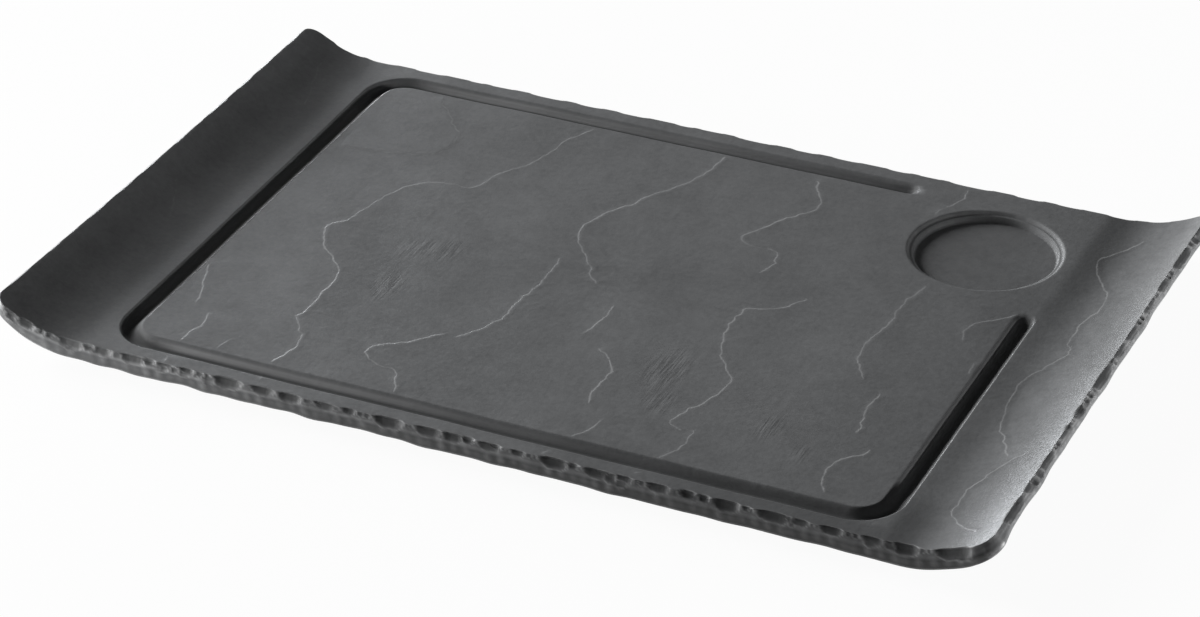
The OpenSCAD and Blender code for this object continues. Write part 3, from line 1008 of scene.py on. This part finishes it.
# %% Underside with the sockets of the feet
FOOT_X = BEND_X - 28.0
FOOT_Y = HALF_W - 32.0
FOOT_R = 7.0
SOCKET_R = FOOT_R + 0.3
SOCKET_DEPTH = 1.0
UNDER_SPACING = 9.0
UNDER_SEAM = 0.8
under_inset_all = UNDER_INSETS[-1] + TUCK + UNDER_SEAM
under_x_end = END_X - under_inset_all
under_y_end = HALF_W - under_inset_all


def under_spacing(at, foot_at):
    """Close together round the sockets and wide apart elsewhere."""
    bands = [band(at, side * foot_at, SOCKET_R + 0.6, 1.0) for side in (-1, 1)]
    return np.minimum.reduce(bands + [np.full_like(at, UNDER_SPACING)])


below_x, below_y = np.meshgrid(
    graded_lines(-under_x_end, under_x_end, lambda at: under_spacing(at, FOOT_X)),
    graded_lines(-under_y_end, under_y_end, lambda at: under_spacing(at, FOOT_Y)),
)
below_shift_x = np.zeros_like(below_x)
below_shift_y = np.zeros_like(below_y)
below_corner = TOP_CORNER_R - under_inset_all
for side_x in (-1, 1):
    for side_y in (-1, 1):
        foot = (side_x * FOOT_X, side_y * FOOT_Y)
        move_x, move_y = rounding(below_x - foot[0], below_y - foot[1], SOCKET_R + 0.8, SOCKET_R + 6.0)
        below_shift_x += move_x
        below_shift_y += move_y
        centre = (side_x * (under_x_end - below_corner), side_y * (under_y_end - below_corner))
        move_x, move_y = corner_rounding(below_x, below_y, centre, below_corner, 2 * below_corner)
        below_shift_x += move_x
        below_shift_y += move_y
below_x = below_x + below_shift_x
below_y = below_y + below_shift_y
from_foot = np.hypot(np.abs(below_x) - FOOT_X, np.abs(below_y) - FOOT_Y)
socket = SOCKET_DEPTH * (1 - smoothstep(from_foot, SOCKET_R - 0.25, SOCKET_R + 0.15))
below_z = under_height(below_x) + socket
print(f"underside grid of {below_x.shape[1]} x {below_x.shape[0]} lines")

# %% [markdown]
# ## One closed skin
# The top, the ring and the underside become one mesh. Their borders have different numbers of points, so
# they are joined by a zipper: each edge of one border is joined to the point of the other border that lies
# level with it, which leaves no gap and no doubled point. A closed skin matters for 3-D printing and for
# light, and it keeps the normals smooth across the joins. Last, the left end is set a little askew and
# bowed, which brings its outline to where the photograph has it.

# %% Join the grids into a mesh
def grid_quads(first, rows, columns):
    """Quads of a grid stored row by row, seen anticlockwise when columns run right and rows run up."""
    corner = (first + np.arange(rows - 1)[:, None] * columns + np.arange(columns - 1)).ravel()
    return np.stack([corner, corner + 1, corner + columns + 1, corner + columns], axis=1)


def ring_quads(first, rows, columns):
    """Quads of a ring, whose last column is joined to its first, with rows leading outwards."""
    here = np.arange(columns)
    after = np.roll(here, -1)
    start = first + np.arange(rows - 1)[:, None] * columns
    quads = [start + here, start + columns + here, start + columns + after, start + after]
    return np.stack([part.ravel() for part in quads], axis=1)


def grid_border(first, rows, columns):
    """Points round the border of a grid, anticlockwise from its first corner."""
    index = first + np.arange(rows * columns).reshape(rows, columns)
    return np.concatenate([index[0, :-1], index[:-1, -1], index[-1, :0:-1], index[:0:-1, 0]])


def zipper(inner, inner_at, outer, outer_at):
    """Triangles between two borders, given each point's place round them. An edge is joined to the
    other border's point that has been reached when as many edge middles have been passed."""
    inner, inner_at = inner[np.argsort(inner_at)], np.sort(inner_at)
    outer, outer_at = outer[np.argsort(outer_at)], np.sort(outer_at)
    inner_mid = (inner_at + np.append(inner_at[1:], inner_at[0] + OUTLINE_LENGTH)) / 2
    outer_mid = (outer_at + np.append(outer_at[1:], outer_at[0] + OUTLINE_LENGTH)) / 2
    level_outer = outer[np.searchsorted(outer_mid, inner_mid, "left") % len(outer)]
    level_inner = inner[np.searchsorted(inner_mid, outer_mid, "right") % len(inner)]
    from_inner = np.stack([inner, level_outer, np.roll(inner, -1)], axis=1)
    from_outer = np.stack([outer, np.roll(outer, -1), level_inner], axis=1)
    return np.concatenate([from_inner, from_outer])


def make_piece(name, points, quads, triangles):
    """Puts points, in millimetres, and faces into a new mesh with smooth shading."""
    mesh = bpy.data.meshes.new(name)
    corners = np.concatenate([np.ravel(quads), np.ravel(triangles)]).astype(np.int32)
    starts = np.concatenate([
        4 * np.arange(len(quads)), 4 * len(quads) + 3 * np.arange(len(triangles)),
    ]).astype(np.int32)
    mesh.vertices.add(len(points))
    mesh.vertices.foreach_set("co", (np.asarray(points) * MM).astype(np.float32).ravel())
    mesh.loops.add(len(corners))
    mesh.loops.foreach_set("vertex_index", corners)
    mesh.polygons.add(len(starts))
    mesh.polygons.foreach_set("loop_start", starts)
    mesh.polygons.foreach_set("use_smooth", np.ones(len(starts), bool))
    mesh.update(calc_edges=True)
    piece = bpy.data.objects.new(name, mesh)
    bpy.context.scene.collection.objects.link(piece)
    print(f"{name}: {len(points)} points, {2 * len(quads) + len(triangles)} triangles")
    return piece


def set_numbers(piece, name, values):
    """Stores one number for each point of a piece, for the shader to read by name."""
    attribute = piece.data.attributes.new(name, "FLOAT", "POINT")
    attribute.data.foreach_set("value", np.asarray(values, np.float32).ravel())


print("mesh helpers ready")

# %% Points of the plate
LEFT_ASKEW = 1.9
LEFT_BOW = 1.1


def left_rim_shift(x, y):
    """How far the left end is set to the right, growing from its bend to its rim: in at the back and out
    at the front, by a straight line in y, and in at the middle, by a parabola."""
    share = y / HALF_W
    return smoothstep(-x, BEND_X, RIM_X) * (LEFT_ASKEW * share + LEFT_BOW * (1 - share**2))


top_points = np.stack([grid_x, grid_y, grid_z], axis=-1).reshape(-1, 3)
ring_points = ring.reshape(-1, 3)
below_points = np.stack([below_x, below_y, below_z], axis=-1).reshape(-1, 3)
ring_first = len(top_points)
below_first = ring_first + len(ring_points)
ring_rows, ring_columns = ring.shape[:2]

all_points = np.concatenate([top_points, ring_points, below_points])
print(len(top_points), "points on the top,", len(ring_points), "in the ring,", len(below_points), "below")

# %% Faces of the plate
top_border = grid_border(0, *grid_x.shape)
below_border = grid_border(below_first, *below_x.shape)
first_row = ring_first + np.arange(ring_columns)
last_row = ring_first + (ring_rows - 1) * ring_columns + np.arange(ring_columns)
top_border_at = outline_distance(*all_points[top_border, :2].T) % OUTLINE_LENGTH
low_to_top = (RIM_X - BEND_X) / (END_X - BEND_X)
below_edge_x = all_points[below_border, 0]
below_past = np.maximum(np.abs(below_edge_x) - BEND_X, 0.0)
below_edge_x = np.sign(below_edge_x) * (np.minimum(np.abs(below_edge_x), BEND_X) + below_past * low_to_top)
below_border_at = outline_distance(below_edge_x, all_points[below_border, 1]) % OUTLINE_LENGTH

plate_quads = np.concatenate([
    grid_quads(0, *grid_x.shape),
    ring_quads(ring_first, ring_rows, ring_columns),
    grid_quads(below_first, *below_x.shape)[:, ::-1],
])
plate_triangles = np.concatenate([
    zipper(top_border, top_border_at, first_row, edge_at),
    zipper(below_border, below_border_at, last_row, edge_at)[:, ::-1],
])
all_points[:, 0] += left_rim_shift(all_points[:, 0], all_points[:, 1])
plate = make_piece("plate", all_points, plate_quads, plate_triangles)

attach(plate, "root")
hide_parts("plate_body")

# %% Numbers for the plate's shader
def paint(name, top, edge, under=0.0):
    """Stores a number for every point of the plate: an array, or one value, for each of its three parts."""
    values = [np.broadcast_to(top, grid_x.shape), np.broadcast_to(edge, ring.shape[:2])]
    values.append(np.broadcast_to(under, below_x.shape))
    set_numbers(plate, name, np.concatenate([part.ravel() for part in values]))


ring_offset = np.full(ring.shape[:2], SPLIT_REACH)
ring_offset[flange_rows] = flange_offset
ring_nearness = np.zeros(ring.shape[:2])
ring_nearness[flange_rows] = flange_nearness
paint("split_offset", grid_offset, ring_offset, SPLIT_REACH)
paint("split_nearness", grid_nearness, ring_nearness)
# These numbers also carry the edge's wear and painted highlight, painted shade and painted light.
paint("worn_and_highlight", grid_lip_highlight, ring_worn_and_highlight)
paint("scar", 0.0, ring_scar)
paint("scuff", grid_scuff, 0.0)
paint("painted_shade", grid_painted_shade, ring_painted_shade)
paint("matt", grid_matt, 0.0)
paint("painted_light", grid_painted_light, 0.0)
print("numbers on the plate:", ", ".join(sorted(set(plate.data.attributes.keys()))))

# %% [markdown]
# ## The feet
# Each foot is a moulded silicone pad with a round rim and a shallow hollow underneath, so that it grips.
# It is turned round its own axis: a profile of radius and height, carried round a circle. The two ends of
# the profile lie on the axis, where one point and a fan of triangles close the shape without a crease.

# %% Silicone feet
FOOT_TOP = UNDER_Z + SOCKET_DEPTH - 0.4
FOOT_SEGMENTS = 72


def turned(profile, centre, segments):
    """Points and faces of a profile of (radius, height) turned round the vertical axis through centre.
    The first and last points of the profile are on the axis."""
    turn = 2 * np.pi * np.arange(segments) / segments
    radius, height = profile[1:-1].T
    rings = np.stack([
        centre[0] + radius[:, None] * np.cos(turn),
        centre[1] + radius[:, None] * np.sin(turn),
        np.broadcast_to(height[:, None], (len(radius), segments)),
    ], axis=-1).reshape(-1, 3)
    poles = np.array([[*centre, profile[0, 1]], [*centre, profile[-1, 1]]])
    here = np.arange(segments)
    after = np.roll(here, -1)
    last = (len(radius) - 1) * segments
    low_pole, high_pole = len(rings), len(rings) + 1
    low_fan = np.stack([np.full(segments, low_pole), after, here], axis=1)
    high_fan = np.stack([np.full(segments, high_pole), last + here, last + after], axis=1)
    quads = ring_quads(0, len(radius), segments)[:, ::-1]
    return np.concatenate([rings, poles]), quads, np.concatenate([low_fan, high_fan])


def arc(centre, radius, start, end, count):
    """Points of a circular arc between two angles in degrees."""
    angle = np.radians(np.linspace(start, end, count))
    return np.stack([centre[0] + radius * np.cos(angle), centre[1] + radius * np.sin(angle)], axis=1)


HOLLOW = 0.25
foot_profile = np.concatenate([
    [(0.0, HOLLOW), (2.0, HOLLOW), (4.2, HOLLOW)],
    arc((4.9, 0.5), 0.5, 210, 270, 5),
    arc((FOOT_R - 0.6, 0.6), 0.6, 270, 360, 9),
    arc((FOOT_R - 0.25, FOOT_TOP - 0.25), 0.25, 0, 90, 5),
    [(3.0, FOOT_TOP), (0.0, FOOT_TOP)],
])
feet = {}
for side_y, row in ((-1, "front"), (1, "back")):
    for side_x, end in ((-1, "left"), (1, "right")):
        place = f"{row}_{end}"
        foot_mesh = turned(foot_profile, (side_x * FOOT_X, side_y * FOOT_Y), FOOT_SEGMENTS)
        feet[place] = make_piece(f"foot_{place}", *foot_mesh)
        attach(feet[place], "root")
        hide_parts(f"foot_pad_{place}")

# %% [markdown]
# ## Writing shaders as sums
# A finish is a tree of nodes. Linking nodes one by one hides the idea behind a list of sockets, so a small
# class wraps a socket and lets it be added, multiplied and compared like a number. Each sum adds the Math
# node that works it out. One method adds every other kind of node: it takes the node's type, its settings
# and what goes into its sockets.

# %% A material's tree, and a socket that can be used in sums
class Finish:
    """A new material whose nodes are added by add()."""

    def __init__(self, name):
        self.material = bpy.data.materials.new(name)
        self.material.use_nodes = True
        self.tree = self.material.node_tree
        self.tree.nodes.clear()

    def add(self, kind, settings=None, inputs=None, output=0):
        """Adds a node of a kind, sets its settings first, then links or sets its sockets by name or
        number, and gives back one of its outputs."""
        node = self.tree.nodes.new(kind)
        for name, setting in (settings or {}).items():
            setattr(node, name, setting)
        for socket, value in (inputs or {}).items():
            if isinstance(value, Value):
                self.tree.links.new(value.socket, node.inputs[socket])
            else:
                node.inputs[socket].default_value = value
        return Value(self, node.outputs[output]) if len(node.outputs) else None


class Value:
    """A socket that can be used in sums; every sum adds a Math node."""

    def __init__(self, finish, socket):
        self.finish = finish
        self.socket = socket

    def math(self, operation, *terms):
        """A Math node of this operation on these terms."""
        return self.finish.add("ShaderNodeMath", {"operation": operation}, dict(enumerate(terms)))

    def output(self, name):
        """Another output of the same node."""
        return Value(self.finish, self.socket.node.outputs[name])

    def __add__(self, other):
        return self.math("ADD", self, other)

    def __radd__(self, other):
        return self.math("ADD", other, self)

    def __sub__(self, other):
        return self.math("SUBTRACT", self, other)

    def __rsub__(self, other):
        return self.math("SUBTRACT", other, self)

    def __mul__(self, other):
        return self.math("MULTIPLY", self, other)

    def __rmul__(self, other):
        return self.math("MULTIPLY", other, self)

    def __abs__(self):
        return self.math("ABSOLUTE", self)

    def soft(self, low, high):
        """0 below low and 1 above high, with a smooth rise between them."""
        return self.finish.add(
            "ShaderNodeMapRange",
            {"interpolation_type": "SMOOTHSTEP"},
            {"Value": self, "From Min": low, "From Max": high},
        )


def noise(finish, place, scale, detail=3.0, roughness=0.5):
    """Noise from about 0 to 1 with its largest lumps 1/scale metres across."""
    sockets = {"Vector": place, "Scale": scale, "Detail": detail, "Roughness": roughness}
    return finish.add("ShaderNodeTexNoise", None, sockets)


def mix(finish, share, first, second):
    """Colour that goes from first to second as share goes from 0 to 1."""
    return finish.add("ShaderNodeMix", {"data_type": "RGBA"}, {0: share, 6: first, 7: second}, 2)


def number(finish, name):
    """A number that the mesh stores for each of its points."""
    return finish.add("ShaderNodeAttribute", {"attribute_name": name}, None, "Fac")


def grey(level, warmth=0.0):
    """An opaque grey; warmth tips it towards red or, below zero, towards blue."""
    return (level * (1 + warmth), level, level * (1 - warmth), 1.0)


print("shader helpers ready")

# %% [markdown]
# ## The slate finish
# Fired slip over a slate-textured body is a matt, slightly cool dark grey. Close to, it has clouds as wide
# as a thumb is long, a finer mottle, and a grain like split stone. The crests of the split lines, which
# come and go, are painted lighter as a painted highlight. Cusps and lips are painted lighter, partly wear
# where the slip is thin and partly a painted highlight. Scars are darkened as painted shade, painted shade
# and painted light are mixed in where the mesh marks them, and scuffs are strokes of a stretched noise.
# All the patterns read Object coordinates, so they sit still on the plate, and all the small relief goes
# into one bump height in millimetres.

# %% Slate-look ceramic
SLATE_DARK = grey(0.086, -0.02)
SLATE_PALE = grey(0.142, -0.02)
# The crest grey is a painted highlight, the light grey serves wear and painted light, the dark grey painted
# shade.
CREST_HIGHLIGHT = grey(0.34, -0.01)
LIGHT_AND_WORN_GREY = grey(0.30, -0.01)
PAINTED_SHADE_GREY = grey(0.038, -0.02)
STROKE_WAY = (1.0, 0.07, 1.0)


def slate_finish():
    """Dark matt slip with clouds, mottle and grain, painted highlight on the split lines' crests, edges
    lighter from wear and painted highlight, and painted shade and painted light.
    """
    finish = Finish("slate_ceramic")
    place = finish.add("ShaderNodeTexCoord", output="Object")
    cloud = noise(finish, place, 16.0, 4.0, 0.55)
    mottle = noise(finish, place, 110.0, 5.0, 0.62)
    grain = noise(finish, place, 1300.0, 3.0, 0.6)
    jitter = noise(finish, place, 260.0, 3.0, 0.6)
    patches = noise(finish, place, 45.0, 2.0, 0.5).soft(0.30, 0.62)
    breaks = noise(finish, place, 240.0).soft(0.25, 0.6)
    strength = patches * breaks

    shiver = noise(finish, place, 900.0, 2.0, 0.5)
    offset = number(finish, "split_offset") + (jitter - 0.5) * 1.5 + (shiver - 0.5) * 0.5
    nearness = number(finish, "split_nearness").soft(0.05, 0.7)
    # The crest of each split line is painted lighter: a painted highlight along the step.
    crest = (1 - abs(offset).soft(0.05, 0.60)) * nearness * (0.3 + 0.7 * strength)
    step = offset.soft(-0.35, 0.35) * nearness
    worn_and_highlight = number(finish, "worn_and_highlight") * (0.35 + 0.65 * mottle.soft(0.35, 0.6))
    scar = number(finish, "scar")

    fleck = noise(finish, place, 420.0, 4.0, 0.6)
    long_way = finish.add("ShaderNodeVectorMath", {"operation": "MULTIPLY"}, {0: place, 1: STROKE_WAY})
    stroke = noise(finish, long_way, 1300.0, 2.0, 0.6)
    scuff = number(finish, "scuff") * (stroke - 0.5)
    tone = 0.5 + (cloud - 0.5) * 0.9 + (mottle - 0.5) * 0.7 + (fleck - 0.5) * 0.9 + (grain - 0.5) * 0.5
    tone = tone + scuff * 3.4
    colour = mix(finish, tone, SLATE_DARK, SLATE_PALE)
    # Painted shade: darker at the groove's bottom, the foot of the ends, along the front and low on the
    # wall.
    colour = mix(finish, number(finish, "painted_shade"), colour, PAINTED_SHADE_GREY)
    # Painted light: lighter on the groove's walls, slopes and shoulder.
    colour = mix(finish, number(finish, "painted_light"), colour, LIGHT_AND_WORN_GREY)
    # Chips darkened as painted shade in their hollows.
    colour = mix(finish, scar * 0.75, colour, PAINTED_SHADE_GREY)
    # Painted highlight on the crests of the split lines.
    colour = mix(finish, crest * 0.30, colour, CREST_HIGHLIGHT)
    # Cusps, lips and the ledge are painted lighter: partly wear, partly a painted highlight.
    colour = mix(finish, worn_and_highlight * 0.9, colour, LIGHT_AND_WORN_GREY)

    height = grain * 0.016 + mottle * 0.06 + fleck * 0.09 + scuff * 0.10
    height = height + step * 0.05 + scar * mottle * 0.35
    bump = finish.add("ShaderNodeBump", None, {"Strength": 1.0, "Distance": MM, "Height": height})
    rough = 0.37 + (mottle - 0.5) * 0.2 + scar * 0.15 + number(finish, "matt") * 0.25
    surface = finish.add("ShaderNodeBsdfPrincipled", None, {
        "Base Color": colour, "Roughness": rough, "Normal": bump, "Specular IOR Level": 0.3,
    })
    finish.add("ShaderNodeOutputMaterial", None, {"Surface": surface})
    return finish.material


plate.data.materials.append(slate_finish())
print("slate finish has", len(plate.data.materials[0].node_tree.nodes), "nodes")

# %% [markdown]
# ## Silicone and adhesive
# The feet are dark matt silicone, which picks up a little dust. The discs that hold them are pressed foam
# tape, off-white with a fibrous grain. Both are small, so two scales of noise are enough to keep them from
# looking like plain colour.

# %% Silicone feet and adhesive discs
def silicone_finish():
    """Dark rubber with a faint bloom of dust and a fine moulded grain."""
    finish = Finish("silicone")
    place = finish.add("ShaderNodeTexCoord", output="Object")
    dust = noise(finish, place, 320.0, 5.0, 0.65).soft(0.52, 0.75)
    grain = noise(finish, place, 2600.0, 2.0, 0.5)
    colour = mix(finish, dust * 0.35, grey(0.022), grey(0.12, 0.02))
    bump = finish.add("ShaderNodeBump", None, {"Strength": 1.0, "Distance": MM, "Height": grain * 0.03})
    surface = finish.add("ShaderNodeBsdfPrincipled", None, {
        "Base Color": colour, "Roughness": 0.62 + dust * 0.2, "Normal": bump, "Specular IOR Level": 0.4,
    })
    finish.add("ShaderNodeOutputMaterial", None, {"Surface": surface})
    return finish.material


def adhesive_finish():
    """Off-white foam tape with a fibrous grain."""
    finish = Finish("adhesive")
    place = finish.add("ShaderNodeTexCoord", output="Object")
    fibre = noise(finish, place, 1500.0, 4.0, 0.7)
    colour = mix(finish, fibre, grey(0.42, 0.06), grey(0.62, 0.06))
    bump = finish.add("ShaderNodeBump", None, {"Strength": 1.0, "Distance": MM, "Height": fibre * 0.05})
    surface = finish.add("ShaderNodeBsdfPrincipled", None, {
        "Base Color": colour, "Roughness": 0.6 + fibre * 0.3, "Normal": bump,
    })
    finish.add("ShaderNodeOutputMaterial", None, {"Surface": surface})
    return finish.material


silicone = silicone_finish()
adhesive = adhesive_finish()
for place, foot in feet.items():
    foot.data.materials.append(silicone)
    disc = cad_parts[f"foot_adhesive_{place}"]
    disc.data.materials.clear()
    disc.data.materials.append(adhesive)
print("finished", len(feet), "feet and their discs")

# %% [markdown]
# ## Floor and light
# The photograph is a cut-out on white. The floor is white where the camera looks at it, mostly by its own
# glow, so that it stays white while the plate keeps its shadow. A broad lamp stands low on the left: the
# right end, which faces it, is bright, and the left end and the groove's left run are dark. In other views
# such a lamp would be a white glare on the field, so it is hidden from reflections, and a narrow lamp at the
# back left gives the sheen. Two small cards, at the front left and the right, lighten the chipped walls.

# %% White table
FLOOR_HALF = 12000.0
FLOOR_GLOW = 0.95

floor_corners = np.array([(-1, -1, 0), (1, -1, 0), (1, 1, 0), (-1, 1, 0)]) * FLOOR_HALF
floor = make_piece("floor", floor_corners, np.array([[0, 1, 2, 3]]), np.zeros((0, 3)))


def table_finish():
    """White table: matt for the light that falls on it, and mostly glowing for rays that show it."""
    finish = Finish("white_table")
    path = finish.add("ShaderNodeLightPath", output="Is Camera Ray")
    seen = path.math("MAXIMUM", path, path.output("Is Glossy Ray"))
    seen = seen.math("MAXIMUM", seen, path.output("Is Transmission Ray"))
    matt = finish.add("ShaderNodeBsdfDiffuse", None, {"Color": grey(0.6)})
    glow = finish.add("ShaderNodeEmission", None, {"Color": grey(1.0), "Strength": 1.0})
    surface = finish.add("ShaderNodeMixShader", None, {0: seen * FLOOR_GLOW, 1: matt, 2: glow})
    finish.add("ShaderNodeOutputMaterial", None, {"Surface": surface})
    return finish.material


floor.data.materials.append(table_finish())
print(f"table {2 * FLOOR_HALF * MM:.0f} m wide")

# %% Lamps: azimuth and elevation in degrees, distance, width and height in millimetres, power in watts
LAMPS = {
    "key": (-106.0, 15.0, 3000.0, 1300.0, 1500.0, 290.0),
    "sheen": (-135.0, 6.5, 1300.0, 400.0, 220.0, 5.0),
    "front_card": (-60.0, 5.0, 550.0, 250.0, 90.0, 2.2),
    "right_card": (95.0, 5.0, 700.0, 200.0, 100.0, 3.9),
}
SHEEN_COLOUR = grey(1.0, -0.04)
ROOM_LIGHT = 0.04


def soft_box(name, azimuth, elevation, distance, width, height, power):
    """A flat lamp of this width and height that faces the plate from this direction and distance."""
    axes = view_axes(azimuth, elevation)
    lamp = bpy.data.objects.new(name, bpy.data.lights.new(name, "AREA"))
    lamp.data.shape = "RECTANGLE"
    lamp.data.size = width * MM
    lamp.data.size_y = height * MM
    lamp.data.energy = power
    lamp.matrix_world = standing_at(axes, field_centre + distance * axes[2])
    bpy.context.scene.collection.objects.link(lamp)
    return lamp


lamps = {name: soft_box(name, *setting) for name, setting in LAMPS.items()}
lamps["key"].visible_glossy = False
lamps["sheen"].data.color = SHEEN_COLOUR[:3]
world = bpy.data.worlds.new("room")
world.use_nodes = True
world.node_tree.nodes["Background"].inputs["Color"].default_value = grey(1.0)
world.node_tree.nodes["Background"].inputs["Strength"].default_value = ROOM_LIGHT
bpy.context.scene.world = world
print(len(lamps), "lamps:", ", ".join(lamps), "and a room of strength", ROOM_LIGHT)
